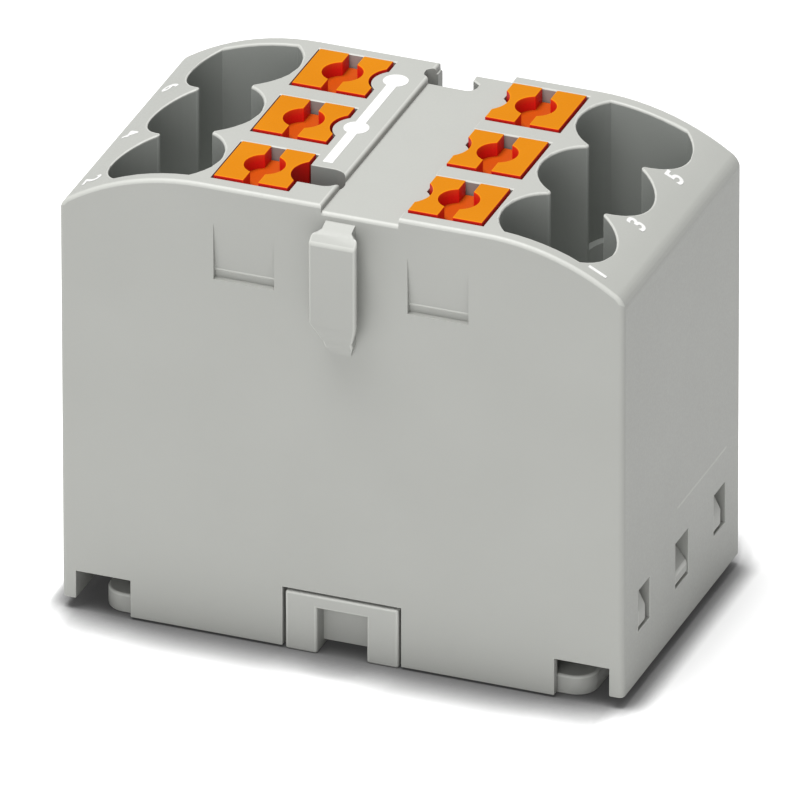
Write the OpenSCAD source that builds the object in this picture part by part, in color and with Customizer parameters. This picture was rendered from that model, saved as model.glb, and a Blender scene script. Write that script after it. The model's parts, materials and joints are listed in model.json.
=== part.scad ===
// Push-in power distribution block: six ways in two banks of three rows.
// Origin: middle of the underside of the base cover, on which the block rests.
// +Z is up, the front face looks towards -Y, and the way numbers are odd on the +X bank.

/* [Housing] */
// Width across both banks
body_w = 28.8; // [28.2:0.2:36]
// Height of the flat bank tops above the resting plane
body_h = 24.3; // [22:0.1:32]
// Distance from one row of ways to the next
row_pitch = 5.1; // [4.8:0.1:7]
// Thickness of the front and back walls
wall_front = 0.8; // [0.6:0.05:1.6]
// Thickness of the side walls
wall_side = 1.1; // [0.8:0.05:1.2]
// Distance from the side face over which the top slopes down
shoulder_run = 7.2; // [6:0.1:7.2]
// Radius of the sloping shoulder
shoulder_r = 12.2; // [11:0.1:20]
// Fillet between the shoulder and the side face
edge_r = 1.0; // [0.3:0.1:2]
// Fillet on the upright corners
corner_r = 0.3; // [0.1:0.05:0.8]
// Depth of the marking band between the banks
band_drop = 0.35; // [0.1:0.05:0.8]
// Width of the marking band left of the middle
band_left = 1.0; // [0.6:0.1:1.6]

/* [Conductor entries] */
// Distance from the side face to the middle of an entry
entry_inset = 4.42; // [4.3:0.02:4.7]
// Radius of an entry
entry_r = 2.78; // [2.7:0.02:2.85]
// Radius of the cusps between neighbouring entries
cusp_r = 0.22; // [0.1:0.02:0.4]
// Depth of the entries below the bank tops
entry_depth = 7.3; // [5:0.1:8]
// Radius of the conductor bore below the entry
bore_r = 1.35; // [1.1:0.05:1.5]
// Height of the funnel between entry and bore
funnel_h = 2.4; // [1:0.1:3]
// Radius at the top of the funnel
funnel_r = 1.95; // [1.6:0.05:2]
// Distance that the bore lies inwards of the entry
bore_shift = 0.45; // [0.3:0.05:0.6]

/* [Push buttons] */
// Distance from the middle of an entry to the middle of its button
button_reach = 5.03; // [5.0:0.01:5.1]
// Width of the square button
button_w = 3.76; // [3.4:0.02:3.9]
// Running clearance around the button
button_gap = 0.12; // [0.08:0.01:0.15]
// Height of the button above the bank top
button_proud = 0.1; // [0:0.05:0.4]
// Travel of the button
button_travel = 1.6; // [1:0.1:1.8]
// Radius of the curved notch in the inner side of the button
notch_r = 1.35; // [1.1:0.05:1.6]
// Depth of that notch
notch_d = 0.45; // [0.3:0.05:0.6]
// Radius of the tool hole
tool_hole_r = 1.0; // [0.7:0.05:1.2]
// Depth of the tool hole
tool_hole_d = 0.75; // [0.4:0.05:1]
// Width of the tool slot
tool_slot_w = 0.75; // [0.5:0.05:1]
// Depth of the tool slot
tool_slot_d = 0.65; // [0.3:0.05:0.9]
// Length of the guide shaft, from the bank top down to the stop
guide_len = 10.5; // [9.8:0.1:11]
// Height of the retaining noses
nose_h = 1.23; // [0.9:0.01:1.3]
// Distance that the noses stand out
nose_out = 0.37; // [0.25:0.01:0.4]

/* [Test opening] */
// Width of the opening
test_w = 1.8; // [1.4:0.1:2]
// Distance from the middle of the block to its round end
test_end = 0.9; // [0.7:0.05:1.2]

/* [Joining rib and slot] */
// Width of the rib's head
rib_w = 2.4; // [2:0.1:2.6]
// Width of the rib's neck
neck_w = 1.5; // [1.2:0.05:1.7]
// Distance that the rib stands out
rib_out = 1.2; // [1:0.05:1.4]
// Length of the rib's neck before it widens
neck_out = 0.5; // [0.4:0.05:0.55]
// Distance over which the neck widens to the head
neck_flare = 0.35; // [0.3:0.01:0.4]
// Height of the rib's lower tip above the resting plane
rib_z = 16.4; // [15:0.1:17]
// Height of the rib's slanted lower end
rib_taper = 2.15; // [1:0.05:2.5]
// Width of the rib's lower tip
tip_w = 1.0; // [0.6:0.1:1.4]
// Distance from the bank top to the top of the rib
rib_top_drop = 0.75; // [0.6:0.05:1.2]
// Height of the slope at the top of the rib
rib_cap = 0.3; // [0.1:0.05:0.4]
// Chamfer on the top front edge of the rib
rib_chamfer = 0.4; // [0.2:0.05:0.6]
// Clearance of the slot around a neighbour's rib
slot_gap = 0.15; // [0.1:0.01:0.2]
// Depth of the slot
slot_d = 1.7; // [1.6:0.05:1.8]
// Thickness of the slot's lips
lip_t = 0.6; // [0.5:0.05:0.65]

/* [Front recesses] */
// Width of each recess
recess_w = 3.1; // [2:0.1:3.3]
// Height of each recess
recess_h = 3.05; // [2:0.05:4]
// Depth at the lower edge, from nothing at the upper edge
recess_d = 0.3; // [0.1:0.05:0.4]
// Distance of its lower edge below the bank top
recess_drop = 5.0; // [4.5:0.1:6]

/* [Base cover] */
// Thickness of the plate
base_t = 1.05; // [0.8:0.05:1.3]
// Rounding of the plate's corners
base_r = 1.1; // [0.5:0.1:3]
// Distance from the side face to the edge of the plate
base_inset = 1.85; // [1.8:0.05:1.95]
// Distance from the front face to the edge of the plate
base_front = 0.5; // [0.48:0.01:0.75]
// Thickness of the snap arms
arm_t = 0.7; // [0.5:0.05:0.75]
// Width of the outer snap arms
arm_w = 1.05; // [0.8:0.01:1.2]
// Height of the upright face of the middle hooks
hook_mid_face = 0.6; // [0.4:0.05:1]
// Height of the upright face of the outer hooks
hook_face = 0.85; // [0.4:0.05:1.2]
// Lean of the middle hooks above that face, inwards for each millimetre up
hook_mid_lean = 0.75; // [0.3:0.05:0.75]
// Lean of the outer hooks above that face, inwards for each millimetre up
hook_lean = 0.47; // [0.3:0.01:0.75]
// Distance that the hooks stay behind the side face
hook_inset = 0.04; // [0:0.01:0.15]
// Width of the tongues in the front and back walls
tongue_w = 5.8; // [4:0.1:6]
// Height of the tongues
tongue_h = 3.17; // [2.8:0.01:3.17]
// Thickness of the tongues
tongue_t = 1.45; // [1.2:0.05:1.5]
// Width of the slot in a tongue
tongue_slot_w = 2.54; // [1.5:0.02:3]
// Height of the slot in a tongue
tongue_slot_h = 2.44; // [1.5:0.02:2.5]
// Depth of the slot in a tongue
tongue_slot_d = 0.9; // [0.5:0.05:1]
// Height of the tool pocket under the plate
pocket_h = 0.38; // [0.2:0.02:0.5]
// Depth of the tool pocket under the plate
pocket_d = 3.2; // [2:0.1:4]
// Gap around the tongues
tongue_gap = 0.14; // [0.1:0.01:0.2]

/* [Skirt] */
// Distance from the resting plane to the middle of the skirt
skirt_z = 0.1; // [0.05:0.05:0.3]
// Distance from the resting plane to the foot of the side walls
leg_z = 0.6; // [0.4:0.05:0.8]
// Height of the corner notches above the resting plane
corner_notch_z = 2.1; // [1.6:0.05:2.4]
// Width of the corner notches
corner_notch_w = 2.8; // [2:0.05:3]
// Thickness of the side wall at the skirt
skirt_side = 0.73; // [0.6:0.01:0.8]
// Thickness of the front wall at the skirt
skirt_front = 0.42; // [0.35:0.01:0.42]
// Width of the middle snap window
window_mid_w = 1.76; // [1.5:0.02:2]
// Width of the outer snap windows
window_w = 1.54; // [1.4:0.02:2]
// Height of the upper edge of the windows above the resting plane
window_top = 5.45; // [5.2:0.05:5.7]
// Height of the middle window
window_mid_h = 2.45; // [2.2:0.05:2.6]
// Height of the outer windows
window_h = 2.2; // [2:0.05:2.6]

/* [Current bar] */
// Thickness of the bar
bar_t = 0.7; // [0.5:0.05:0.9]
// Height of the base ribs that carry the bar
bar_seat = 1.55; // [1.3:0.05:1.7]
// Width of the bar's strips and contact tabs
tab_w = 3.4; // [2.8:0.1:3.6]
// Half width of the strip along the middle
spine_half = 3.2; // [2:0.1:3.5]
// Inner radius of the bends
bend_r = 0.4; // [0.2:0.05:0.8]

/* [Clamp springs] */
// Thickness of the spring strip
spring_t = 0.35; // [0.2:0.05:0.4]
// Width of the spring strip
spring_w = 3.2; // [2.6:0.1:3.4]
// Middle radius of the loop
loop_r = 1.45; // [1.2:0.05:1.5]
// Middle radius of the bend at the foot
foot_r = 0.6; // [0.3:0.05:0.8]
// Slope of the clamping leg
leg_angle = 36; // [30:1:42]
// Length of the foot that lies on the bar
spring_foot = 3.2; // [2:0.1:4]
// Gap between the springs and what carries them
seat_gap = 0.05; // [0.02:0.01:0.1]

/* [Hidden] */
$fn = 96;
WAYS = 6;

// A cut reaches this far past the face that it opens, and a joined shape this far into its carrier
over = 0.5;
root = 0.3;

// Clearances, as gaps between faces
foot_gap = 0.12;
snap_gap = 0.12;
hook_gap = 0.03;
spring_gap = 0.12;
nose_gap = 0.1;
tab_gap = 0.1;
conductor_gap = 0.02;
leg_gap = 0.25;
stop_gap = 0.35;
spine_gap = 0.25;

// Walls inside the housing
inner_wall = 0.8;
middle_wall = 0.75;
slot_wall = 0.9;
top_wall = 1.0;
entry_floor = 2.0;
bore_drop = 1.3;
arm_room = 0.7;
rib_backing = 1.2;

// Plan of a bank: the side face leads to the entry, and the entry to the button
half_w = body_w / 2;
shaft_w = button_w + 2 * button_gap;
half_d = row_pitch + shaft_w / 2 + wall_front;
body_d = 2 * half_d;
inner_d = half_d - wall_front;
inner_w = half_w - wall_side;
entry_x = half_w - entry_inset;
bore_x = entry_x - bore_shift;
button_x = entry_x - button_reach;
button_in = button_x - button_w / 2;
button_out = button_x + button_w / 2;
shaft_in = button_x - shaft_w / 2;
notch_x = button_in - notch_r + notch_d;
flat_half = half_w - shoulder_run;

// Front outline: the shoulder arc, and the fillet that meets it and the side face
shoulder_z = body_h - shoulder_r;
fillet_x = half_w - edge_r;
fillet_z = shoulder_z + sqrt(pow(shoulder_r - edge_r, 2) - pow(fillet_x - flat_half, 2));
fillet_dir = [fillet_x - flat_half, fillet_z - shoulder_z] / (shoulder_r - edge_r);

// Levels
band_z = body_h - band_drop;
button_top = body_h + button_proud;
ledge_z = body_h - guide_len;
roof_z = ledge_z - bore_drop;
entry_z = body_h - entry_depth;
bar_z = base_t + bar_seat;
bar_top = bar_z + bar_t;
wall_foot = bar_top + seat_gap;
arm_room_z = window_top + arm_room;

// Contact tab, its chamber and the pocket behind it
tab_in = bore_x + bore_r + conductor_gap;
tab_out = tab_in + bar_t;
tab_drop = 2.0;
tab_top = roof_z - tab_drop;
chamber_w = shaft_w - tab_gap;
chamber_out = tab_out + tab_gap;
core_in = chamber_out + inner_wall;
core_top = entry_z - entry_floor;

// Base plate and snap arms
plate_half = half_w - base_inset;
plate_front = half_d - base_front;
arm_out = plate_half;
arm_in = arm_out - arm_t;
hook_out = half_w - hook_inset;
hook_top = window_top - snap_gap;

// Spring: the loop lies under the button's foot, and the leg slopes to the tab
foot_z = ledge_z - button_gap - nose_h;
loop_shift = 0.2;
loop_x = button_x + loop_shift;
loop_z = foot_z - foot_gap - spring_t / 2 - loop_r;
leg_dir = [cos(leg_angle), -sin(leg_angle)];
leg_normal = [sin(leg_angle), cos(leg_angle)];
leg_start = [loop_x, loop_z] + loop_r * leg_normal;
leg_skin = [loop_x, loop_z] + (loop_r + spring_t / 2) * leg_normal;
leg_len = (tab_in - leg_gap - leg_start.x) / leg_dir.x;
back_x = loop_x - loop_r;
spring_z = bar_top + seat_gap + spring_t / 2;
spring_back = back_x - spring_t / 2 - spring_gap;
back_wall_z = foot_z - button_travel - stop_gap;

// The pocket for the button's noses, and the hollow in the middle of the block
pocket_in = button_in - nose_out - nose_gap;
middle_half = pocket_in - middle_wall;
notch_half = sqrt(pow(notch_r, 2) - pow(notch_r - notch_d, 2));
nose_w = button_w / 2 - notch_half - button_gap;

function way_side(n) = n % 2 == 1 ? 1 : -1;
function way_y(n) = (floor((n - 1) / 2) - 1) * row_pitch;

// Puts a shape made for the +X bank at its way
module at_way(n) {
    translate([0, way_y(n), 0]) mirror([way_side(n) < 0 ? 1 : 0, 0, 0]) children();
}

module both_sides() {
    for (side = [0, 1]) mirror([side, 0, 0]) children();
}

module front_and_back() {
    for (side = [0, 1]) mirror([0, side, 0]) children();
}

// A box given by its lowest and highest corners
module block(low, high) {
    translate(low) cube(high - low);
}

// A flat shape drawn in X and Z, made into a wall that is w thick in Y
module across_y(w) {
    rotate([90, 0, 0]) linear_extrude(w, center = true) children();
}

// A flat shape drawn in Y and Z, made into a wall that is w thick in X
module across_x(w) {
    rotate([90, 0, 90]) linear_extrude(w, center = true) children();
}

module rounded_plan(half_x, half_y, r) {
    square([2 * half_x, 2 * (half_y - r)], center = true);
    square([2 * (half_x - r), 2 * half_y], center = true);
    for (x = [-1, 1], y = [-1, 1]) translate([x * (half_x - r), y * (half_y - r)]) circle(r = r);
}

// ---- housing: outside ----

module body_outline() {
    for (side = [0, 1]) mirror([side, 0]) {
        square([flat_half, body_h]);
        square([half_w, fillet_z]);
        translate([fillet_x, fillet_z]) circle(r = edge_r);
        translate([flat_half, shoulder_z]) intersection() {
            circle(r = shoulder_r, $fn = 360);
            polygon([[0, 0], 1.5 * shoulder_r * fillet_dir, [0, 1.5 * shoulder_r]]);
        }
    }
}

module body_block() {
    intersection() {
        across_y(body_d) body_outline();
        linear_extrude(body_h + over) rounded_plan(half_w, half_d, corner_r);
    }
}

// Dovetail rib that slides into the slot of the next block
module joining_rib() {
    head_top = body_h - rib_top_drop;
    front = half_d + rib_out;
    intersection() {
        linear_extrude(body_h) polygon([
            [neck_w / 2, -half_d + root], [neck_w / 2, -half_d - neck_out],
            [rib_w / 2, -half_d - neck_out - neck_flare], [rib_w / 2, -front],
            [-rib_w / 2, -front], [-rib_w / 2, -half_d - neck_out - neck_flare],
            [-neck_w / 2, -half_d - neck_out], [-neck_w / 2, -half_d + root]
        ]);
        across_x(rib_w) polygon([
            [-half_d + root, rib_z], [-half_d, rib_z], [-front, rib_z + rib_taper],
            [-front, head_top - rib_cap - rib_chamfer], [-front + rib_chamfer, head_top - rib_cap],
            [-half_d, head_top], [-half_d + root, head_top]
        ]);
        across_y(2 * front) {
            translate([-rib_w / 2, rib_z + rib_taper]) square([rib_w, head_top - rib_z - rib_taper]);
            polygon([
                [-tip_w / 2, rib_z], [tip_w / 2, rib_z],
                [rib_w / 2, rib_z + rib_taper], [-rib_w / 2, rib_z + rib_taper]
            ]);
        }
    }
}

// Slot that takes a neighbour's rib: a mouth, a flare that follows the rib's, and a room
module joining_slot() {
    mouth = neck_w / 2 + slot_gap;
    room = rib_w / 2 + slot_gap;
    corner = 0.5;
    back = half_d - slot_d;
    lip = half_d - lip_t;
    translate([0, 0, rib_z]) linear_extrude(body_h) {
        translate([-mouth, lip - over]) square([2 * mouth, lip_t + 2 * over]);
        polygon([
            [-room, back + corner], [room, back + corner],
            [room, lip - neck_flare], [mouth, lip], [-mouth, lip], [-room, lip - neck_flare]
        ]);
        translate([-room + corner, back]) square([2 * (room - corner), corner + over]);
        for (x = [-1, 1]) translate([x * (room - corner), back + corner]) circle(r = corner);
    }
}

// Wedge-shaped recess, deepest at its lower edge
module front_recess() {
    low = body_h - recess_drop;
    translate([button_x, 0, 0]) across_x(recess_w) polygon([
        [-half_d - over, low], [-half_d + recess_d, low],
        [-half_d, low + recess_h], [-half_d - over, low + recess_h]
    ]);
}

// ---- housing: openings in the top ----

// Three round entries that run into each other, with rounded cusps between them
module entry_plan() {
    intersection() {
        offset(r = -cusp_r, $fn = 48) offset(delta = cusp_r)
            for (row = [-1:1]) translate([0, row * row_pitch]) circle(r = entry_r);
        square([4 * entry_r, 2 * inner_d], center = true);
    }
}

module entries() {
    translate([entry_x, 0, entry_z]) linear_extrude(body_h) entry_plan();
    for (row = [-1:1]) translate([bore_x, row * row_pitch, 0]) rotate_extrude() polygon([
        [0, roof_z - over], [bore_r, roof_z - over], [bore_r, entry_z - funnel_h],
        [funnel_r, entry_z], [funnel_r, entry_z + over], [0, entry_z + over]
    ]);
}

// The boss that reaches into the curved notch of a button
module notch_boss() {
    translate([notch_x, 0]) circle(r = notch_r - button_gap);
}

module shaft_plan(boss) {
    difference() {
        translate([button_x, 0]) square(shaft_w, center = true);
        if (boss) notch_boss();
    }
}

module button_shaft(n) {
    at_way(n) translate([0, 0, ledge_z - over]) linear_extrude(body_h) shaft_plan(n != 2);
}

module marking_band() {
    translate([0, 0, band_z]) linear_extrude(band_drop + over) {
        translate([-band_left, -half_d - over]) square([band_left + shaft_in, body_d + 2 * over]);
        for (row = [-1:1]) translate([0, row * row_pitch]) notch_boss();
    }
}

// Shaft for a test probe beside the front left button, down to the bar
module test_shaft() {
    end_x = test_end + test_w / 2;
    boss_out = notch_x + notch_r - button_gap;
    translate([0, way_y(2), wall_foot]) linear_extrude(body_h) {
        translate([-end_x, 0]) circle(r = test_w / 2);
        translate([-boss_out, -test_w / 2]) square([boss_out - end_x, test_w]);
    }
}

// ---- housing: inside ----

module way_chamber() {
    y = chamber_w / 2;
    block([spring_back, -y, 0], [chamber_out, y, roof_z]);
    block([spring_back, -y, 0], [button_x + shaft_w / 2, y, ledge_z]);
    block([pocket_in, -y, back_wall_z], [button_x, y, ledge_z]);
}

module hollow_inside() {
    skirt_x = half_w - skirt_side;
    skirt_y = half_d - skirt_front;
    test_y = way_y(2) + test_w / 2;
    block([-skirt_x, -skirt_y, -over], [skirt_x, skirt_y, corner_notch_z]);
    block([-inner_w, -inner_d, -over], [inner_w, inner_d, wall_foot]);
    both_sides() {
        block([chamber_out, -inner_d, 0], [inner_w, inner_d, arm_room_z]);
        block([core_in, -inner_d, 0], [inner_w, inner_d, core_top]);
        for (row = [-1:1]) translate([0, row * row_pitch, 0]) way_chamber();
    }
    block([-middle_half, -inner_d, 0], [middle_half, inner_d, rib_z - rib_backing]);
    block([-middle_half, test_y + inner_wall, 0],
          [middle_half, half_d - slot_d - slot_wall, band_z - top_wall]);
}

// ---- housing: skirt ----

// Size of the window in this row, as [width, height]: the middle one is larger
function window_size(row) = row == 0 ? [window_mid_w, window_mid_h] : [window_w, window_h];

module snap_window(row) {
    size = window_size(row);
    block([inner_w - over, -size.x / 2, window_top - size.y], [half_w + over, size.x / 2, window_top]);
}

module skirt_cuts() {
    leg_x = half_w - skirt_side;
    block([-half_w - over, -half_d - over, -over], [half_w + over, half_d + over, skirt_z]);
    both_sides() {
        block([leg_x - over, -half_d - over, -over], [half_w + over, half_d + over, leg_z]);
        block([leg_x - corner_notch_w, -half_d - over, -over], [leg_x, half_d + over, corner_notch_z]);
        for (row = [-1:1]) translate([0, row * row_pitch, 0]) snap_window(row);
    }
    room = tongue_w / 2 + tongue_gap;
    block([-room, -half_d - over, -over], [room, half_d + over, tongue_h + tongue_gap]);
}

module housing() {
    color("#b4b6b0") {
        difference() {
            union() {
                body_block();
                joining_rib();
            }
            hollow_inside();
            entries_and_shafts();
            marking_band();
            test_shaft();
            joining_slot();
            both_sides() front_recess();
            skirt_cuts();
        }
    }
}

module entries_and_shafts() {
    both_sides() entries();
    for (n = [1:WAYS]) button_shaft(n);
}

// ---- base cover ----

// Snap arm with its hook, drawn in X and Z
module arm_profile(hook_z, face, lean) {
    foot = base_t - root;
    tip_x = hook_out - lean * (hook_top - hook_z - face);
    polygon([
        [arm_in, foot], [arm_out, foot], [arm_out, hook_z], [hook_out, hook_z],
        [hook_out, hook_z + face], [tip_x, hook_top], [arm_in, hook_top]
    ]);
}

// The middle arm fills its window. The outer ones lie against the front edge of theirs
module snap_arms() {
    mid = window_size(0);
    side = window_size(1);
    across_y(mid.x - 2 * hook_gap) arm_profile(window_top - mid.y + snap_gap, hook_mid_face, hook_mid_lean);
    for (y = [-1, 1]) translate([0, y * row_pitch - side.x / 2 + hook_gap + arm_w / 2, 0])
        across_y(arm_w) arm_profile(window_top - side.y + snap_gap, hook_face, hook_lean);
}

module tongue() {
    block([-tongue_w / 2, -half_d, 0], [tongue_w / 2, -half_d + tongue_t, tongue_h]);
}

// Slot in a tongue and the pocket behind it, where a tool lifts the cover out
module tool_slot() {
    half = tongue_slot_w / 2;
    block([-half, -half_d - over, -over], [half, -half_d + tongue_slot_d, tongue_slot_h]);
    block([-half, -half_d - over, -over], [half, -half_d + pocket_d, pocket_h]);
}

// Ribs that carry the bar
module bar_ribs() {
    long_t = 1.0;
    cross_t = 0.8;
    foot = base_t - root;
    for (y = [-1, 1]) translate([0, y * row_pitch / 2, 0])
        block([-tab_in, -long_t / 2, foot], [tab_in, long_t / 2, bar_z]);
    for (x = [-1, 1]) translate([x * spine_half / 2, 0, 0])
        block([-cross_t / 2, -row_pitch / 2, foot], [cross_t / 2, row_pitch / 2, bar_z]);
}

module base_cover() {
    color("#a9aba5") {
        difference() {
            union() {
                linear_extrude(base_t) rounded_plan(plate_half, plate_front, base_r);
                bar_ribs();
                both_sides() snap_arms();
                front_and_back() tongue();
            }
            front_and_back() tool_slot();
        }
    }
}

// ---- current bar ----

// One strip with a contact tab bent up at its end, drawn in X and Z for the +X bank
module strip_profile() {
    outer_r = bend_r + bar_t;
    start_x = spine_half - root;
    translate([start_x, bar_z]) square([tab_out - outer_r - start_x, bar_t]);
    translate([tab_in, bar_z + outer_r]) square([bar_t, tab_top - bar_z - outer_r]);
    translate([tab_out - outer_r, bar_z + outer_r]) intersection() {
        difference() {
            circle(r = outer_r);
            circle(r = bend_r);
        }
        translate([0, -outer_r]) square(outer_r);
    }
}

module busbar() {
    spine_d = half_d - tongue_t - spine_gap;
    color("#b87333") {
        block([-spine_half, -spine_d, bar_z], [spine_half, spine_d, bar_top]);
        both_sides() for (row = [-1:1]) translate([0, row * row_pitch, 0])
            across_y(tab_w) strip_profile();
    }
}

// ---- push buttons ----

module button_plan() {
    difference() {
        translate([button_x, 0]) square(button_w, center = true);
        translate([notch_x, 0]) circle(r = notch_r);
    }
}

// Side view of the stem: its foot follows the slope of the clamping leg
module button_side() {
    nose_x = button_in - nose_out;
    toe_x = button_out + over;
    toe_z = leg_skin.y - (button_out - leg_skin.x) * tan(leg_angle) + foot_gap;
    polygon([
        [nose_x, foot_z], [leg_skin.x, foot_z], [button_out, toe_z],
        [toe_x, toe_z], [toe_x, button_top], [nose_x, button_top]
    ]);
}

// The two noses that stop the button at the housing's ledge
module retaining_noses() {
    half = button_w / 2;
    front_and_back()
        block([button_in - nose_out, half - nose_w, foot_z], [button_in + root, half, foot_z + nose_h]);
}

// Round hole and straight slot for the tip of a tool
module tool_recess() {
    half = tool_slot_w / 2;
    translate([button_x, 0, button_top - tool_hole_d]) cylinder(r = tool_hole_r, h = tool_hole_d + over);
    block([button_x - half, -button_w, button_top - tool_slot_d],
          [button_x + half, button_w, button_top + over]);
}

// Hollow core, open at the foot
module button_core() {
    wall = 0.75;
    half = button_w / 2 - wall;
    low = foot_z - loop_r - over;
    block([button_in + notch_d + wall, -half, low],
          [button_out - wall, half, button_top - tool_hole_d - wall]);
}

module push_button(n) {
    color("orange") at_way(n) difference() {
        intersection() {
            union() {
                linear_extrude(button_top) button_plan();
                retaining_noses();
            }
            across_y(button_w) button_side();
        }
        tool_recess();
        button_core();
    }
}

// ---- clamp springs ----

// Part of a bent strip of middle radius r, from angle a to angle b
module strip_bend(r, a, b) {
    reach = 2 * (r + spring_t);
    middle = (a + b) / 2;
    intersection() {
        difference() {
            circle(r = r + spring_t / 2);
            circle(r = r - spring_t / 2);
        }
        polygon([
            [0, 0], reach * [cos(a), sin(a)],
            reach * [cos(middle), sin(middle)], reach * [cos(b), sin(b)]
        ]);
    }
}

module spring_profile() {
    foot_c = [back_x + foot_r, spring_z + foot_r];
    translate([foot_c.x, spring_z - spring_t / 2]) square([spring_foot, spring_t]);
    translate(foot_c) strip_bend(foot_r, 180, 270);
    translate([back_x - spring_t / 2, foot_c.y]) square([spring_t, loop_z - foot_c.y]);
    translate([loop_x, loop_z]) strip_bend(loop_r, 90 - leg_angle, 180);
    translate(leg_start) rotate(-leg_angle) translate([0, -spring_t / 2]) square([leg_len, spring_t]);
}

module clamp_spring(n) {
    color("#d0d3d6") at_way(n) across_y(spring_w) spring_profile();
}

housing();
base_cover();
busbar();
push_button(1);  // push_button_1
push_button(2);  // push_button_2
push_button(3);  // push_button_3
push_button(4);  // push_button_4
push_button(5);  // push_button_5
push_button(6);  // push_button_6
clamp_spring(1);  // clamp_spring_1
clamp_spring(2);  // clamp_spring_2
clamp_spring(3);  // clamp_spring_3
clamp_spring(4);  // clamp_spring_4
clamp_spring(5);  // clamp_spring_5
clamp_spring(6);  // clamp_spring_6
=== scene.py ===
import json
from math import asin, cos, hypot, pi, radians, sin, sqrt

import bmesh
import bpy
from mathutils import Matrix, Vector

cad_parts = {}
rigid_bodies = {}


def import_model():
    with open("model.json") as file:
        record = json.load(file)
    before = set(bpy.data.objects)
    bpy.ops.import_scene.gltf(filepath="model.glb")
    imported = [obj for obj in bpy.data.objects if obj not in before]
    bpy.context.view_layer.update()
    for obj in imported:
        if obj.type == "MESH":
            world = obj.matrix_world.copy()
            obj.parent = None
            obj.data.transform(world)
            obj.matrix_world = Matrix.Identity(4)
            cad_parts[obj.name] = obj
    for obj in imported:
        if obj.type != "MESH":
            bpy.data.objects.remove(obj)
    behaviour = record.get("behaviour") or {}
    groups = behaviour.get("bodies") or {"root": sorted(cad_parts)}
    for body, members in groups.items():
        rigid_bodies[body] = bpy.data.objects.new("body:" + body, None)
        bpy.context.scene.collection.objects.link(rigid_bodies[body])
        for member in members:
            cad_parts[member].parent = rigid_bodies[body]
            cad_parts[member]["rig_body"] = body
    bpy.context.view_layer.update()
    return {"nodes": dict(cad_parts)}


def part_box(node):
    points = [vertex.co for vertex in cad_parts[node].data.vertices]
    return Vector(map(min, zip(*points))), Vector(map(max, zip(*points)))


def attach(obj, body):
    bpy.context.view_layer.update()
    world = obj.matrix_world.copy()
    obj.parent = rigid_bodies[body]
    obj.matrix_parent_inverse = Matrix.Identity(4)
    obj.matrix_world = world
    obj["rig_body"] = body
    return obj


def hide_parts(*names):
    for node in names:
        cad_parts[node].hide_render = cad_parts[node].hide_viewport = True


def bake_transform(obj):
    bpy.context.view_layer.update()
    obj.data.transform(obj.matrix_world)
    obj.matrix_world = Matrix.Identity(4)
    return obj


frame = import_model()

# %% [markdown]
# # A push-in power distribution block
#
# The real object is a small wiring block for a control cabinet. One moulded grey housing holds
# six round conductor entries in two banks, an orange push button beside each, and a joining rib
# on the front. A base cover snaps in from below, and a bent current bar and six leaf springs lie
# inside. The CAD model gives every shape and place. This lesson gives each piece the look of the
# real material, softens the moulded edges, adds the print, and lights it like a catalogue picture.
# Blender works in metres. The block is easier to think of in mm, so MM turns one into the other.

MM = 0.001
BLOCK = frame["nodes"]["housing"]["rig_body"]
WAYS = range(1, 7)


def only(*objects):
    """Selects these objects and nothing else. The CAD nodes are selected when the frame loads."""
    bpy.ops.object.select_all(action="DESELECT")
    for chosen in objects:
        chosen.select_set(True)
    bpy.context.view_layer.objects.active = objects[-1]


# %% [markdown]
# ## The camera
#
# A catalogue picture of a part this small is taken from far away with a long lens, so that its
# upright edges stay almost parallel. The camera is built from the direction that it looks in and
# the point that it looks at, which is easier to read and to change than three turns of an angle.

# %% Camera
VIEW_AZIMUTH = radians(21.207)
VIEW_ELEVATION = radians(28.169)
VIEW_ROLL = radians(-0.087)
VIEW_DISTANCE = 1403.6 * MM
SENSOR = 36.0
FOCAL_RATIO = 36.66
LENS = SENSOR * FOCAL_RATIO
MIDDLE = Vector((0, 0, 11.6 * MM))
AIM_LEFT = 0.049 * MM
AIM_DOWN = 1.346 * MM

forward = Vector((
    -sin(VIEW_AZIMUTH) * cos(VIEW_ELEVATION),
    cos(VIEW_AZIMUTH) * cos(VIEW_ELEVATION),
    -sin(VIEW_ELEVATION),
))
right = Vector((cos(VIEW_AZIMUTH), sin(VIEW_AZIMUTH), 0))
up = right.cross(forward)
aim = MIDDLE - right * AIM_LEFT - up * AIM_DOWN

bpy.ops.object.camera_add(location=aim - forward * VIEW_DISTANCE)
camera = bpy.context.object
camera.name = "camera"
turn = Matrix((right, up, -forward)).transposed() @ Matrix.Rotation(VIEW_ROLL, 3, "Z")
camera.rotation_euler = turn.to_euler()
camera.data.sensor_width = SENSOR
camera.data.lens = LENS
camera.data.clip_end = 10
bpy.context.scene.camera = camera
print("camera distance in mm:", round(VIEW_DISTANCE / MM), "lens in mm:", round(LENS))

# %% [markdown]
# ## Materials from nodes
#
# Every material here is a small tree of shader nodes. The same few steps come back in all of them,
# so they are short functions: a blank material, noise, a value range, and a mix of two colours.
# Noise is read on the object's own coordinates, so it sticks to a piece when the piece moves.

# %% Material helpers
NOISE_LOW = 0.3
NOISE_HIGH = 0.7


def blank_material(name):
    """A new material with its shader, and short names for the parts that are set most."""
    made = bpy.data.materials.new(name)
    made.use_nodes = True
    tree = made.node_tree
    return made, tree.nodes, tree.links, tree.nodes["Principled BSDF"]


def add_noise(nodes, links, coordinates, scale, detail=2.0):
    """Noise on these coordinates. Scale is in patches per metre."""
    noise = nodes.new("ShaderNodeTexNoise")
    noise.inputs["Scale"].default_value = scale
    noise.inputs["Detail"].default_value = detail
    noise.inputs["Roughness"].default_value = 0.5
    links.new(coordinates, noise.inputs["Vector"])
    return noise.outputs["Fac"]


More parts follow.
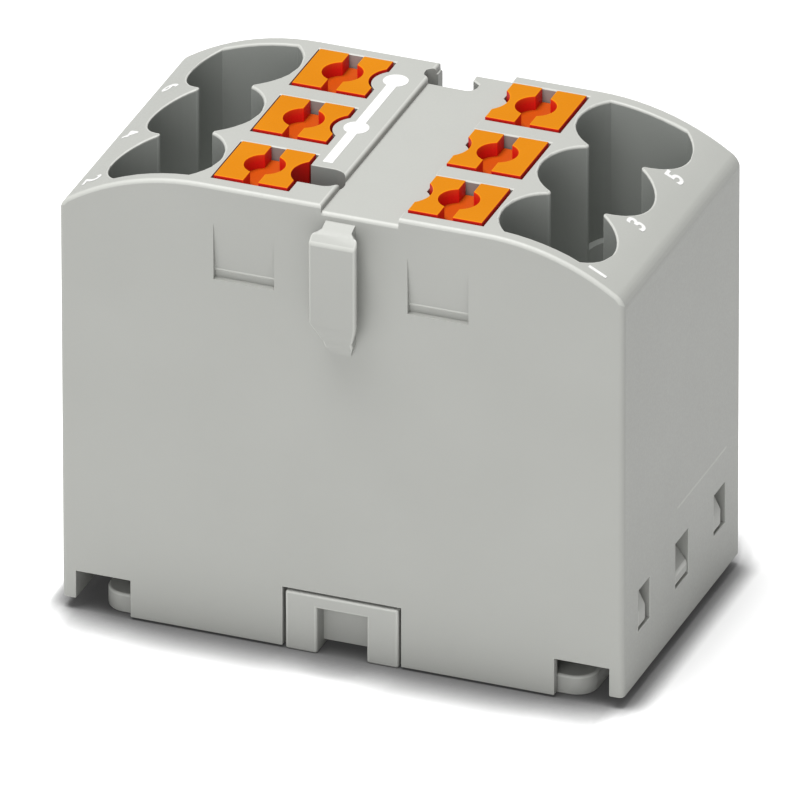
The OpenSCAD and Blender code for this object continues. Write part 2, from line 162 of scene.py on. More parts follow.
def add_range(nodes, links, value, low, high, from_low=NOISE_LOW, from_high=NOISE_HIGH):
    """Turns a value between from_low and from_high into one between low and high."""
    spread = nodes.new("ShaderNodeMapRange")
    spread.inputs["From Min"].default_value = from_low
    spread.inputs["From Max"].default_value = from_high
    spread.inputs["To Min"].default_value = low
    spread.inputs["To Max"].default_value = high
    links.new(value, spread.inputs["Value"])
    return spread.outputs["Result"]


def add_mix(nodes, links, factor, first, second, blend="MIX"):
    """Mixes two colours. Each is three numbers, or comes from another node."""
    mix = nodes.new("ShaderNodeMix")
    mix.data_type = "RGBA"
    mix.blend_type = blend
    links.new(factor, mix.inputs["Factor"])
    for socket, colour in (("A", first), ("B", second)):
        if isinstance(colour, tuple):
            mix.inputs[socket].default_value = (*colour, 1)
        else:
            links.new(colour, mix.inputs[socket])
    return mix.outputs["Result"]

# %% [markdown]
# ## The floor
#
# The block stands on a pale table top that is almost burnt out to white. A soft dark band lies
# where the block nearly touches it. Light alone would spread that shadow too wide on so bright a
# floor, so the floor's own material darkens where something is within a few millimetres of it. The
# reach of that shadow is given along X, because it is shorter at the two ends of the block.

# %% Floor
FLOOR_HALF = 0.6
FLOOR_GLOW = 0.36
FLOOR_DARK = (0.06, 0.06, 0.06)
FLOOR_PALE = (0.7, 0.7, 0.7)
SHADOW_REACH = 3.6 * MM
SHADOW_DEPTH = 4.4
REACH_SPAN = 40 * MM
REACH_STOPS = ((0.11, 0.25), (0.16, 1.0), (0.84, 1.0), (0.87, 0.4))


def add_math(nodes, links, operation, value, constant):
    """One step of arithmetic between a node's value and a constant."""
    step = nodes.new("ShaderNodeMath")
    step.operation = operation
    step.inputs[1].default_value = constant
    links.new(value, step.inputs[0])
    return step.outputs["Value"]


bpy.ops.mesh.primitive_plane_add(size=2 * FLOOR_HALF, location=(0, 0, 0))
floor = bpy.context.object
floor.name = "floor"
table_top, nodes, links, shader = blank_material("table_top")
across = nodes.new("ShaderNodeSeparateXYZ")
links.new(nodes.new("ShaderNodeTexCoord").outputs["Object"], across.inputs["Vector"])
share = add_range(nodes, links, across.outputs["X"], 0, 1, -REACH_SPAN / 2, REACH_SPAN / 2)
reach = nodes.new("ShaderNodeValToRGB")
while len(reach.color_ramp.elements) < len(REACH_STOPS):
    reach.color_ramp.elements.new(0.5)
for stop, (place, part) in zip(reach.color_ramp.elements, REACH_STOPS):
    stop.position = place
    stop.color = (part, part, part, 1)
links.new(share, reach.inputs["Fac"])
crevice = nodes.new("ShaderNodeAmbientOcclusion")
crevice.samples = 16
crevice.inputs["Color"].default_value = (1, 1, 1, 1)
distance = add_math(nodes, links, "MULTIPLY", reach.outputs["Color"], SHADOW_REACH)
links.new(distance, crevice.inputs["Distance"])
open_share = add_math(nodes, links, "POWER", crevice.outputs["AO"], SHADOW_DEPTH)
tone = add_mix(nodes, links, open_share, FLOOR_DARK, FLOOR_PALE)
links.new(tone, shader.inputs["Base Color"])
links.new(tone, shader.inputs["Emission Color"])
shader.inputs["Emission Strength"].default_value = FLOOR_GLOW
shader.inputs["Roughness"].default_value = 0.9
shader.inputs["Specular IOR Level"].default_value = 0.1
floor.data.materials.append(table_top)
print("floor nodes:", len(nodes))

# %% [markdown]
# ## Light
#
# A wide soft light overhead makes the top the brightest face, a large one in front fills the front
# wall, and a dim white world keeps the other sides from going black. The two lamps face the block.

# %% Lights
WORLD_GLOW = 0.3

world = bpy.data.worlds.new("room")
world.use_nodes = True
world.node_tree.nodes["Background"].inputs["Color"].default_value = (1, 1, 1, 1)
world.node_tree.nodes["Background"].inputs["Strength"].default_value = WORLD_GLOW
bpy.context.scene.world = world
bpy.context.scene.view_settings.view_transform = "Standard"


def soft_light(name, place, size, power):
    """A square area light at place, in metres, that faces the middle of the block."""
    bpy.ops.object.light_add(type="AREA", location=place)
    lamp = bpy.context.object
    lamp.name = name
    lamp.data.size = size
    lamp.data.energy = power
    lamp.rotation_euler = (Vector(place) - aim).to_track_quat("Z", "Y").to_euler()


soft_light("light_top", (-0.05, -0.04, 0.45), 0.25, 3.45)
soft_light("light_front", (0.05, -0.5, 0.2), 0.35, 1.2)

# %% [markdown]
# ## Moulded plastic
#
# The housing is light grey polyamide from an eroded mould: matt, with a grain so fine that it
# only breaks up the highlights. Low noise in the colour stands for the flow of the melt. Two marks
# on the faces of a piece change the tone. One is on its rounds, which get a painted highlight: a
# colour a little paler. The other is down in its holes, which get painted shade: a duller, darker
# colour. The upright walls of the orange buttons get painted shade too, in a deep red.

# %% Plastic
# How much paler the rounds are painted, as a painted highlight.
EDGE_HIGHLIGHT = 1.22
FLOW_SCALE = 160
GRAIN_SCALE = 9000
UPRIGHT_Z = 0.1
LEVEL_Z = 0.7


def marked(nodes, name):
    """The mark of that name on the faces: 1 where it is set, and 0 on any other piece."""
    mark = nodes.new("ShaderNodeAttribute")
    mark.attribute_name = name
    return mark.outputs["Fac"]


def moulded_plastic(name, dark, light, gloss, grain, hole_shade, wall=None):
    """Plastic between two near colours, with a grain of that depth in metres.

    Two more colours are painted shade: the one down in a hole, and, where given, the one on upright
    walls.
    """
    made, nodes, links, shader = blank_material(name)
    where = nodes.new("ShaderNodeTexCoord").outputs["Object"]
    flow = add_range(nodes, links, add_noise(nodes, links, where, FLOW_SCALE, 3.0), 0, 1)
    colour = add_mix(nodes, links, flow, dark, light)
    colour = add_mix(nodes, links, marked(nodes, "hole_shade"), colour, hole_shade)
    # Faces that stand upright get the wall colour as painted shade; level faces keep the plastic's
    # own colour.
    if wall:
        facing = nodes.new("ShaderNodeSeparateXYZ")
        links.new(nodes.new("ShaderNodeNewGeometry").outputs["Normal"], facing.inputs["Vector"])
        level = add_range(nodes, links, facing.outputs["Z"], 0, 1, UPRIGHT_Z, LEVEL_Z)
        colour = add_mix(nodes, links, level, wall, colour)
    # The rounds get a painted highlight: their colour is multiplied paler.
    pale = (EDGE_HIGHLIGHT, EDGE_HIGHLIGHT, EDGE_HIGHLIGHT)
    colour = add_mix(nodes, links, marked(nodes, "edge"), colour, pale, "MULTIPLY")
    links.new(colour, shader.inputs["Base Color"])
    fine = add_noise(nodes, links, where, GRAIN_SCALE)
    rough = add_range(nodes, links, fine, gloss - 0.05, gloss + 0.08)
    links.new(rough, shader.inputs["Roughness"])
    bump = nodes.new("ShaderNodeBump")
    bump.inputs["Strength"].default_value = 1.0
    bump.inputs["Distance"].default_value = grain
    links.new(fine, bump.inputs["Height"])
    links.new(bump.outputs["Normal"], shader.inputs["Normal"])
    shader.inputs["Specular IOR Level"].default_value = 0.1 if wall else 0.35
    return made


# The third colour of each plastic is painted shade for its faces down in holes.
housing_plastic = moulded_plastic(
    "housing_plastic", (0.296, 0.3, 0.282), (0.306, 0.31, 0.292), 0.5, 0.004 * MM,
    hole_shade=(0.256, 0.268, 0.252))
# The cover's grey is the housing's grey made a little paler: painted light for its place low in the
# front wall.
base_plastic = moulded_plastic(
    "base_plastic", (0.312, 0.316, 0.298), (0.322, 0.326, 0.308), 0.5, 0.004 * MM,
    hole_shade=(0.3, 0.3, 0.28))
# The buttons' deep red on upright walls and darker orange in the holes are painted shade.
button_plastic = moulded_plastic(
    "button_plastic", (0.395, 0.13, 0.0), (0.425, 0.145, 0.001), 0.42, 0.003 * MM,
    hole_shade=(0.35, 0.048, 0.002), wall=(0.56, 0.012, 0.008))
print("plastics:", housing_plastic.name, base_plastic.name, button_plastic.name)

# %% [markdown]
# ## Metal inside
#
# The current bar is copper with a dull coat of tin. The springs are rolled stainless strip, with
# fine lines along the rolling direction. Brushed metal could come from a picture of scratches, but
# noise that is squeezed along one axis gives the same lines at any size and needs no file.

# %% Metal
LINE_SCALE = 4000
LINE_DEEP = 0.002 * MM


def rolled_metal(name, colour, gloss, stretch):
    """Metal with fine rolling lines. Stretch squeezes the noise along X, Y and Z."""
    made, nodes, links, shader = blank_material(name)
    shader.inputs["Base Color"].default_value = (*colour, 1)
    shader.inputs["Metallic"].default_value = 1.0
    where = nodes.new("ShaderNodeTexCoord").outputs["Object"]
    along = nodes.new("ShaderNodeMapping")
    along.inputs["Scale"].default_value = stretch
    links.new(where, along.inputs["Vector"])
    lines = add_noise(nodes, links, along.outputs["Vector"], LINE_SCALE, 3.0)
    rough = add_range(nodes, links, lines, gloss - 0.08, gloss + 0.1)
    links.new(rough, shader.inputs["Roughness"])
    bump = nodes.new("ShaderNodeBump")
    bump.inputs["Distance"].default_value = LINE_DEEP
    links.new(lines, bump.inputs["Height"])
    links.new(bump.outputs["Normal"], shader.inputs["Normal"])
    return made


bar_metal = rolled_metal("bar_metal", (0.74, 0.72, 0.68), 0.42, (0.1, 1, 1))
spring_steel = rolled_metal("spring_steel", (0.66, 0.66, 0.67), 0.3, (1, 1, 0.08))
print("metals:", bar_metal.name, spring_steel.name)

# %% [markdown]
# ## Softened edges
#
# No moulded edge is razor sharp: the mould leaves a tiny round on each, and that round catches
# the light. Each solid gets a copy whose loose triangles are merged into whole faces, and the
# copy stands for the solid. A bevel then rounds its edges, each as wide as the real one. The width
# is a weight on the edge, given by where the edge lies, so that tight places stay clean. A copy has
# two empty material places: the rounds go into the second, and that is how they are told apart
# when the copy gets its one real material.

# %% Edge helpers
FLAT = radians(0.4)
SHARP = radians(32)
SAME_POINT = 0.0005 * MM
WIDEST = 0.2 * MM
ROUNDS = 1


def is_edge(edge):
    """True for a sharp outer edge. Inner corners stay as they are."""
    return len(edge.link_faces) == 2 and edge.is_convex and edge.calc_face_angle() > SHARP


def linked(name, mesh):
    """A new object in the scene with that mesh."""
    piece = bpy.data.objects.new(name, mesh)
    bpy.context.collection.objects.link(piece)
    return piece


def new_piece(name, built):
    """A new object in the scene from a bmesh, which is freed."""
    mesh = bpy.data.meshes.new(name)
    built.to_mesh(mesh)
    built.free()
    return linked(name, mesh)


def merged_copy(node, name):
    """A new piece with a CAD solid's shape, its loose triangles merged into whole faces."""
    piece = linked(name, frame["nodes"][node].data.copy())
    piece.data.materials.clear()
    for _ in range(ROUNDS + 1):
        piece.data.materials.append(None)
    only(piece)
    bpy.ops.mesh.customdata_custom_splitnormals_clear()
    bpy.ops.object.mode_set(mode="EDIT")
    bpy.ops.mesh.select_all(action="SELECT")
    bpy.ops.mesh.remove_doubles(threshold=SAME_POINT)
    bpy.ops.mesh.dissolve_limited(angle_limit=FLAT)
    bpy.ops.object.mode_set(mode="OBJECT")
    return piece


def round_edges(piece, width_at, segments=3):
    """Rounds each sharp edge to the width that width_at gives for its two ends, in mm."""
    mesh = piece.data
    edges = bmesh.new()
    edges.from_mesh(mesh)
    weight = edges.edges.layers.float.new("bevel_weight_edge")
    count = 0
    for edge in edges.edges:
        if not is_edge(edge):
            continue
        width = width_at(edge.verts[0].co / MM, edge.verts[1].co / MM) * MM
        edge[weight] = width / WIDEST
        count += width > 0
    edges.to_mesh(mesh)
    edges.free()
    only(piece)
    bevel = piece.modifiers.new("round", "BEVEL")
    bevel.width = WIDEST
    bevel.segments = segments
    bevel.material = ROUNDS
    bevel.limit_method = "WEIGHT"
    bevel.use_clamp_overlap = False
    bpy.ops.object.modifier_apply(modifier="round")
    print(piece.name, "rounded edges:", count, "faces:", len(mesh.polygons))


# %% [markdown]
# A finished copy gets smooth shading that its large faces lead, so that a wall stays flat right up
# to its round. Then it gets the two marks that the plastics read, its material, and its place in
# the object: what it stands for, and what it moves with.

# %% Finish helpers
FACE_AREA_LEADS = 100


def smooth(piece):
    """Smooth shading up to the sharp angle, led by the large faces."""
    only(piece)
    bpy.ops.object.shade_smooth_by_angle(angle=SHARP)
    even = piece.modifiers.new("even", "WEIGHTED_NORMAL")
    even.weight = FACE_AREA_LEADS
    even.keep_sharp = True
    bpy.ops.object.modifier_apply(modifier="even")


def mark_faces(mesh, name, marks):
    """Sets the mark of that name, one number for each face."""
    mesh.attributes.new(name, "FLOAT", "FACE").data.foreach_set("value", marks)


def mark_sunk(piece, is_sunk):
    """Marks for painted shade the faces for which the test says yes to their centre, in mm, and
    their normal.
    """
    marks = [float(is_sunk(face.center / MM, face.normal)) for face in piece.data.polygons]
    mark_faces(piece.data, "hole_shade", marks)
    print(piece.name, "faces down in holes:", int(sum(marks)))


def stand_for(piece, node, material, body):
    """Smooths a finished copy, gives it its material, and puts it in its CAD solid's place."""
    smooth(piece)
    mesh = piece.data
    round_faces = [min(face.material_index, ROUNDS) for face in mesh.polygons]
    mark_faces(mesh, "edge", round_faces)
    mesh.polygons.foreach_set("material_index", [0] * len(mesh.polygons))
    mesh.materials.clear()
    mesh.materials.append(material)
    print(piece.name, "faces on rounds:", sum(round_faces))
    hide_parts(node)
    if body:
        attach(piece, body)


# %% [markdown]
# ## The housing
#
# The long outer edges have the widest rounds, because they lie on the parting line of the mould.
# A bevel can't end cleanly in the upright corners, which are round already, so these rounds are
# cut: a thin bar with the hollow of the round runs along the top edge and is taken away.
# The rims of the entries are finer, and the shafts of the buttons are almost sharp, so that the
# running gap round each button stays a thin dark line.
#
# Where an edge lies says which kind it is. The outer walls stand on a rectangle with round corners,
# and the top is level between two shoulders, which fall away in an arc of SHOULDER mm.

# %% Housing shape
low, high = (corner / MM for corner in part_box("housing"))
HALF_X = high.x
TOP = high.z
BACK = high.y
CORNER = 0.3
FLAT_HALF = 7.2
SHOULDER = 12.2
BAND_EDGE = -1.0
BAND_DEEP = 0.4
ROW = 5.1
SHAFT_HALF = 2.0
FOOT_TOP = 0.7
HOOKS_TOP = 8
NEAR = 0.03


def wall_gap(v):
    """Distance of v from the outer walls, whose upright corners are round, in mm."""
    x = max(abs(v.x) - HALF_X + CORNER, 0)
    y = max(abs(v.y) - BACK + CORNER, 0)
    return abs(hypot(x, y) - CORNER)


def roof_gap(v):
    """Distance of v below the top face, which falls away in an arc at both sides, in mm."""
    run = max(abs(v.x) - FLAT_HALF, 0)
    return TOP - SHOULDER + sqrt(SHOULDER**2 - run**2) - v.z


print("housing in mm, half wide:", HALF_X, "top:", TOP, "back:", BACK)

# %% Housing edges
RIB_ROUND = 0.12
RIM_ROUND = 0.12
SHAFT_SIDE_ROUND = 0.1
SHAFT_ROUND = 0.03
FOOT_ROUND = 0.08
WINDOW_ROUND = 0.04


def shaft_side(y):
    """Distance of y from the nearest long side of a button shaft, in mm."""
    return abs((y + ROW / 2) % ROW - ROW / 2 - SHAFT_HALF)


def housing_width(a, b):
    """Width of the round on a housing edge between points a and b, in mm."""
    mid = (a + b) / 2
    outer = max(wall_gap(a), wall_gap(b)) < NEAR
    if max(a.y, b.y) < -BACK - NEAR:
        return RIB_ROUND
    if max(roof_gap(a), roof_gap(b)) < BAND_DEEP:
        if outer or abs(mid.y) > BACK - CORNER or abs(mid.x - BAND_EDGE) < BAND_DEEP / 2:
            return 0
        if abs(mid.x) > FLAT_HALF:
            return RIM_ROUND
        return SHAFT_SIDE_ROUND if shaft_side(mid.y) < NEAR else SHAFT_ROUND
    if max(a.z, b.z) < FOOT_TOP:
        return FOOT_ROUND
    return WINDOW_ROUND if outer and mid.z < HOOKS_TOP else 0


# %% [markdown]
# The bar follows the points of the top edge itself, so that its flats match those of the arc. They
# are found by their faces: one looks up, and the other is the front or back wall.

# %% Points of the top edge
LOWEST_TOP = 20
ON_WALL = 0.003


def top_edges(piece, side):
    """Points (x, z) of the top edge in the wall at side, in mm, sorted along x."""
    points = set()
    edges = bmesh.new()
    edges.from_mesh(piece.data)
    for edge in edges.edges:
        ends = [v.co / MM for v in edge.verts]
        on_wall = all(abs(side * v.y - BACK) < ON_WALL and v.z > LOWEST_TOP for v in ends)
        if not on_wall or not is_edge(edge):
            continue
        across, along = sorted((f.normal for f in edge.link_faces), key=lambda n: abs(n.y))
        if abs(across.y) < 0.05 and across.z > 0.05 and abs(along.y) > 0.99:
            points.update((round(v.x, 4), round(v.z, 4)) for v in ends)
    edges.free()
    return sorted(points)


# %% [markdown]
# The section of the bar is a square outside the block with the hollow of the round on its inner
# side. The hollow starts and ends a hair outside the two faces, in the steps called SKIN, so that
# no face of the bar lies in a face of the block, and the cut has one clear answer everywhere.

# %% Bars
BAR_OUT = 0.1
SKIN = 0.004
ROUND_TURNS = [radians(6 + 78 * i / 7) for i in range(8)]


def round_bar(bars, stations, width):
    """Adds a bar that leaves a round of that width, in mm, where two faces meet.

    Each station is a point on their edge, and the directions out of the first and second face.
    """
    section = [(width * (cos(turn) - 1), width * (sin(turn) - 1)) for turn in ROUND_TURNS]
    slide = (SKIN - section[0][0]) / sin(ROUND_TURNS[0])
    deep = section[0][1] - slide * cos(ROUND_TURNS[0])
    section = [(BAR_OUT, BAR_OUT), (BAR_OUT, deep), (SKIN, deep)] + section
    section += [(deep, SKIN), (deep, BAR_OUT)]
    rings = []
    for point, first, second in stations:
        corners = [point + first * along + second * across for along, across in section]
        rings.append([bars.verts.new(corner) for corner in corners])
    count = len(section)
    for ring, following in zip(rings, rings[1:]):
        for k in range(count):
            j = (k + 1) % count
            bars.faces.new((ring[k], ring[j], following[j], following[k]))
    bars.faces.new(rings[0])
    bars.faces.new(rings[-1])


def top_stations(path, side):
    """Stations for round_bar along the points (x, z) of a top edge."""
    stations = []
    out = Vector((0, side, 0))
    for i, (x, z) in enumerate(path):
        before, after = Vector(path[max(i - 1, 0)]), Vector(path[min(i + 1, len(path) - 1)])
        run = (after - before).normalized()
        stations.append((Vector((x, side * BACK, z)), Vector((-run.y, 0, run.x)), out))
    return stations


def cut_bars(piece, bars):
    """Takes closed bars away from piece. The cut is made in mm, where the solver has more room."""
    bmesh.ops.recalc_face_normals(bars, faces=bars.faces)
    cutter = new_piece("round_bars", bars)
    for face in cutter.data.polygons:
        face.material_index = ROUNDS
    piece.data.transform(Matrix.Scale(1 / MM, 4))
    only(piece)
    cut = piece.modifiers.new("cut", "BOOLEAN")
    cut.object = cutter
    cut.operation = "DIFFERENCE"
    cut.solver = "EXACT"
    bpy.ops.object.modifier_apply(modifier="cut")
    bpy.data.objects.remove(cutter)
    piece.data.transform(Matrix.Scale(MM, 4))
    print("cut bars out of", piece.name, "faces:", len(piece.data.polygons))


# %% [markdown]
# Three bars run along the top of each wall, because the marking band between them lies lower. The
# outer two go on over the shoulder and down round the fillet above the side wall. One more rounds
# the long edge where the left bank steps down to the band.

# %% Long rounds
EDGE_ROUND = 0.19
STEP_ROUND = 0.15
STEP_OUT = 2.95
OVERLAP = 0.1
CLEAR = 0.01
FILLET = 1.0
FILLET_STEPS = 8
SHOULDER_DROP = 3.5


def cut_long_rounds(piece):
    """Rounds the top edges of the front and back walls, and the edge of the marking band."""
    bars = bmesh.new()
    for side in (-1, 1):
        points = top_edges(piece, side)
        shoulder = [p for p in points if p[0] > STEP_OUT - NEAR and p[1] > TOP - SHOULDER_DROP]
        end_x, end_z = shoulder[-1]
        middle_x = HALF_X - FILLET
        middle_z = end_z - sqrt(FILLET**2 - (end_x - middle_x) ** 2)
        start = asin((end_z - middle_z) / FILLET)
        turns = [start * (1 - i / FILLET_STEPS) for i in range(1, FILLET_STEPS + 1)]
        tail = [(middle_x + FILLET * cos(t), middle_z + FILLET * sin(t)) for t in turns]
        tail.append((HALF_X, middle_z - 1))
        slope = [p for p in shoulder if p[0] > STEP_OUT + NEAR] + tail
        band = min(z for x, z in points if abs(x) < STEP_OUT)
        left = [(-x, z) for x, z in reversed(slope)] + [(BAND_EDGE + OVERLAP, TOP)]
        right = [(STEP_OUT - OVERLAP, TOP)] + slope
        between = [(BAND_EDGE + CLEAR, band), (STEP_OUT - CLEAR, band)]
        for path in (left, between, right):
            round_bar(bars, top_stations(path, side), EDGE_ROUND)
    cut_bars(piece, bars)
    bars = bmesh.new()
    ends = (Vector((BAND_EDGE, side * (BACK + BAR_OUT), TOP)) for side in (-1, 1))
    stations = [(end, Vector((0, 0, 1)), Vector((1, 0, 0))) for end in ends]
    round_bar(bars, stations, STEP_ROUND)
    cut_bars(piece, bars)


# %% [markdown]
# The shoulders are made of narrow flats. Their normals are set to those of the true arc, so that
# the light runs over them without a stripe. Faces down in the holes get their mark of painted
# shade before that.

# %% The housing
ARC_END = 13.9
ARC_STEP = radians(4)
HOLE_TOP = 0.6


def true_arc(piece):
    """Shades the top face as the true arc that its flats stand for."""
    mesh = piece.data
    normals = [corner.vector.copy() for corner in mesh.corner_normals]
    count = 0
    for face in mesh.polygons:
        for loop in face.loop_indices:
            v = mesh.vertices[mesh.loops[loop].vertex_index].co / MM
            run = v.x - min(max(v.x, -FLAT_HALF), FLAT_HALF)
            true = Vector((run, 0, sqrt(max(SHOULDER**2 - run**2, 0)))).normalized()
            on_top = abs(roof_gap(v)) < NEAR and abs(v.x) < ARC_END
            if on_top and face.normal.angle(true) < ARC_STEP:
                normals[loop] = true
                count += 1
    mesh.normals_split_custom_set(normals)
    print("corners on the arc:", count)


def in_hole(at, normal):
    """True on the walls of the entries and shafts, well inside the outer faces."""
    inside = wall_gap(at) > CORNER - NEAR and roof_gap(at) > HOLE_TOP and at.z > HOOKS_TOP
    return inside and (abs(at.x) > FLAT_HALF or abs(at.y) < BACK - 1)


housing = merged_copy("housing", "moulded_housing")
cut_long_rounds(housing)
round_edges(housing, housing_width)
mark_sunk(housing, in_hole)
stand_for(housing, "housing", housing_plastic, BLOCK)
true_arc(housing)

# %% [markdown]
# ## Base cover and buttons
#
# The cover shows its tongue in the front wall, the corners of its plate and the noses of its
# hooks. Only what shows is rounded.

# %% Cover
COVER_ROUND = 0.13
TONGUE_Y = 7.3
HOOK_X = 10


def cover_width(a, b):
    """Width of the round on an edge of the base cover, in mm."""
    seen = max(abs(a.y), abs(b.y)) > TONGUE_Y or min(abs(a.x), abs(b.x)) > HOOK_X
    return COVER_ROUND if seen else 0


cover = merged_copy("base_cover", "moulded_base_cover")
round_edges(cover, cover_width)
stand_for(cover, "base_cover", base_plastic, BLOCK)

# %% [markdown]
# The buttons are small parts from a fine mould, with crisp edges. Their tool slots run out level
# with the tool hole, a tenth of a millimetre deeper than in the solid, so that a blade slides in.

# %% Buttons
BUTTON_ROUND = 0.05
BUTTON_HEAD = 1
SLOT_DEEP = 0.65
HOLE_DEEP = 0.75
SAME_LEVEL = 0.01 * MM
TINY = 0.002 * MM


def button_width(a, b):
    """Width of the round on an edge of a button, in mm."""
    return BUTTON_ROUND if min(a.z, b.z) > TOP - BUTTON_HEAD else 0


def level_slots(piece):
    """Brings the floor of the tool slots down to the floor of the tool hole."""
    top = max(v.co.z for v in piece.data.vertices)
    for v in piece.data.vertices:
        if abs(top - v.co.z - SLOT_DEEP * MM) < SAME_LEVEL:
            v.co.z = top - HOLE_DEEP * MM
    only(piece)
    bpy.ops.object.mode_set(mode="EDIT")
    bpy.ops.mesh.select_all(action="SELECT")
    bpy.ops.mesh.remove_doubles(threshold=TINY)
    bpy.ops.mesh.dissolve_degenerate(threshold=TINY)
    bpy.ops.mesh.dissolve_limited(angle_limit=FLAT)
    bpy.ops.object.mode_set(mode="OBJECT")


for n in WAYS:
    button = merged_copy(f"push_button_{n}", f"moulded_button_{n}")
    level_slots(button)
    top = max(v.co.z for v in button.data.vertices) / MM
    round_edges(button, button_width, segments=2)
    mark_sunk(button, lambda at, normal: at.z < top - SLOT_DEEP / 2 and normal.z > LEVEL_Z)
    stand_for(button, f"push_button_{n}", button_plastic, f"button_{n}")

# %% [markdown]
# ## Current bar and springs
#
# A sheared strip has a small round on its edges too. Each spring is cut into short level lengths.
# In the real block its foot stays on the bar, and its loop goes down with the button.

# %% Metal pieces
STRIP_ROUND = 0.04
BEND_STEP = 0.4
ON_CUT = 0.001 * MM


def strip_width(a, b):
    """Width of the round on an edge of a metal strip, in mm. It is the same everywhere."""
    return STRIP_ROUND


def cut_lengths(piece, step):
    """Adds level cuts through piece, step mm apart, for a smooth bend."""
    cuts = bmesh.new()
    cuts.from_mesh(piece.data)
    low_z = min(v.co.z for v in cuts.verts)
    high_z = max(v.co.z for v in cuts.verts)
    for i in range(1, int((high_z - low_z) / (step * MM))):
        bmesh.ops.bisect_plane(
            cuts, geom=cuts.verts[:] + cuts.edges[:] + cuts.faces[:],
            plane_co=(0, 0, low_z + i * step * MM), plane_no=(0, 0, 1), dist=ON_CUT)
    cuts.to_mesh(piece.data)
    cuts.free()


bar = merged_copy("busbar", "bent_bar")
round_edges(bar, strip_width, segments=2)
stand_for(bar, "busbar", bar_metal, BLOCK)

for n in WAYS:
    node = f"clamp_spring_{n}"
    spring = merged_copy(node, f"leaf_spring_{n}")
    round_edges(spring, strip_width, segments=2)
    cut_lengths(spring, BEND_STEP)
    stand_for(spring, node, spring_steel, None)
    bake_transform(spring)

# %% [markdown]
# ## Print
#
# White ink marks the block. A line with two dots on the left bank stands for the bar that joins
# all ways, and each entry has its number. Print is often painted on as an image, but a skin of a
# hundredth of a millimetre stays sharp from close by. Each number is set flat, and then laid round
# the arc of the shoulder.

# %% Ink
INK = 0.012
INK_LIFT = 0.003
MOTTLE_SCALE = 4000
ink, nodes, links, shader = blank_material("white_ink")
where = nodes.new("ShaderNodeTexCoord").outputs["Object"]
mottle = add_range(nodes, links, add_noise(nodes, links, where, MOTTLE_SCALE), 0, 1)
white = add_mix(nodes, links, mottle, (0.54, 0.54, 0.53), (0.6, 0.6, 0.59))
links.new(white, shader.inputs["Base Color"])
shader.inputs["Roughness"].default_value = 0.6
shader.inputs["Specular IOR Level"].default_value = 0.3


def finish_print(piece):
    """Gives a printed mark its ink, and lets it move with the block."""
    piece.data.materials.clear()
    piece.data.materials.append(ink)
    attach(piece, BLOCK)


def flat_print(name, outline, level):
    """A flat mark with this outline, in mm, on a face at that level."""
    mark = bmesh.new()
    corners = [Vector((x, y, level + INK_LIFT)) * MM for x, y in outline]
    face = mark.faces.new([mark.verts.new(corner) for corner in corners])
    raised = bmesh.ops.extrude_face_region(mark, geom=[face])["geom"]
    for v in raised:
        if isinstance(v, bmesh.types.BMVert):
            v.co.z += INK * MM
    bmesh.ops.recalc_face_normals(mark, faces=mark.faces)
    finish_print(new_piece(name, mark))


# %% [markdown]
# The line starts behind the test opening, runs back along the left bank, and widens into a dot at
# the second way and at the third. Its outline is one closed curve, mirrored about the line.

# %% Line with dots
LINE_X = -2.3
LINE_START = -3.7
LINE_HALF = 0.25
DOTS = (0.1, 5.3)
DOT_R = 0.62
DOT_STEPS = 16

lean = asin(LINE_HALF / DOT_R)
side_points = [(LINE_X + LINE_HALF, LINE_START)]
for y in DOTS:
    last = pi / 2 if y == DOTS[-1] else pi / 2 - lean
    first = lean - pi / 2
    turns = [first + (last - first) * i / DOT_STEPS for i in range(DOT_STEPS + 1)]
    side_points += [(LINE_X + DOT_R * cos(t), y + DOT_R * sin(t)) for t in turns]
outline = side_points + [(2 * LINE_X - x, y) for x, y in reversed(side_points[:-1])]
flat_print("print_bar_line", outline, TOP)
print("points of the printed line:", len(outline))

# %% [markdown]
# Way 1 is in front on the right bank and way 2 in front on the left. Each number is text that
# becomes a mesh while it is still flat. Its own X then runs along Y, and its own Y up the shoulder.

# %% Numbers
NUMBER_SIZE = 1.35
NUMBER_BOLD = 0.035
NUMBER_X = {1: 12.8, -1: -13.3}
NUMBER_Y = {1: (-7.1, -1.9, 3.2), -1: (-6.5, -1.45, 3.7)}

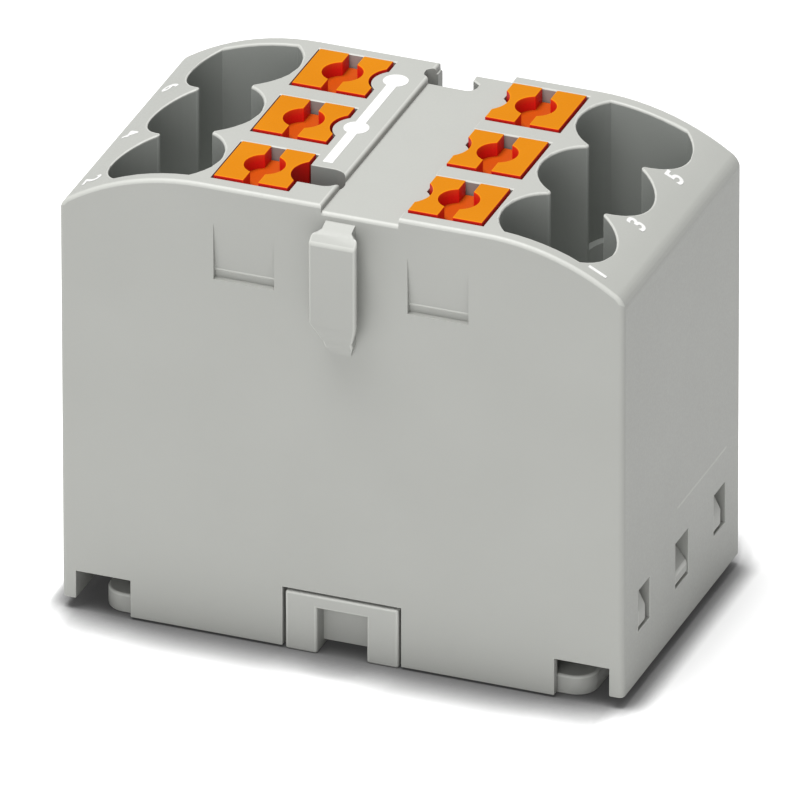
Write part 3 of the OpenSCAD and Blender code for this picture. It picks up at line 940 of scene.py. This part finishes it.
for n in WAYS:
    side = 1 if n % 2 else -1
    bpy.ops.object.text_add(location=(0, 0, 0))
    number = bpy.context.object
    number.name = f"print_number_{n}"
    number.data.body = str(n)
    number.data.size = NUMBER_SIZE
    number.data.align_x = "CENTER"
    number.data.align_y = "CENTER"
    number.data.extrude = INK / 2
    number.data.offset = NUMBER_BOLD
    number.data.resolution_u = 4
    only(number)
    bpy.ops.object.convert(target="MESH")
    start = asin((abs(NUMBER_X[side]) - FLAT_HALF) / SHOULDER)
    for v in number.data.vertices:
        along, up_by, out_by = v.co
        angle = start - up_by / SHOULDER
        reach_out = SHOULDER + INK_LIFT + INK / 2 + out_by
        v.co = Vector((
            side * (FLAT_HALF + reach_out * sin(angle)),
            NUMBER_Y[side][(n - 1) // 2] + side * along,
            TOP - SHOULDER + reach_out * cos(angle),
        )) * MM
    finish_print(number)

# %% [markdown]
# ## Mould lines
#
# The right side shows the faint line where two halves of a core met, and each front recess has
# another one just above its foot. Such a line could be drawn in the bump of the plastic. A very low
# ridge is simpler, and catches the light on its upper side as the real one does. Each ridge also
# carries the edge mark, so its colour is a little paler: a painted highlight.

# %% Mould lines
def mould_line(name, start, end, out, wide, proud):
    """A ridge from start to end, in mm, on an upright face that looks along out."""
    half = Vector((0, 0, wide / 2))
    rise = Vector(out) * proud
    ridge = bmesh.new()
    ends = [[ridge.verts.new(corner * MM) for corner in (at - half, at + rise, at + half)]
            for at in (Vector(start), Vector(end))]
    for k in range(3):
        j = (k + 1) % 3
        ridge.faces.new((ends[0][k], ends[0][j], ends[1][j], ends[1][k]))
    for end_face in ends:
        ridge.faces.new(end_face)
    bmesh.ops.recalc_face_normals(ridge, faces=ridge.faces)
    piece = new_piece(name, ridge)
    # The whole ridge gets the edge mark, a painted highlight that makes it paler.
    mark_faces(piece.data, "edge", [1.0] * len(piece.data.polygons))
    piece.data.materials.append(housing_plastic)
    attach(piece, BLOCK)


SIDE_LINE_Z = 7.3
SIDE_LINE_Y = (-0.7, 6.0)
RECESS_X = 4.95
RECESS_HALF = 1.55
RECESS_LINE_Z = 19.74
RECESS_DEEP = 0.257

start, end = ((HALF_X, y, SIDE_LINE_Z) for y in SIDE_LINE_Y)
mould_line("mould_line_side", start, end, (1, 0, 0), 0.13, 0.012)
for n, middle in ((1, RECESS_X), (2, -RECESS_X)):
    start, end = ((middle + half, RECESS_DEEP - BACK, RECESS_LINE_Z)
                  for half in (-RECESS_HALF, RECESS_HALF))
    mould_line(f"mould_line_front_{n}", start, end, (0, -1, 0), 0.14, 0.026)
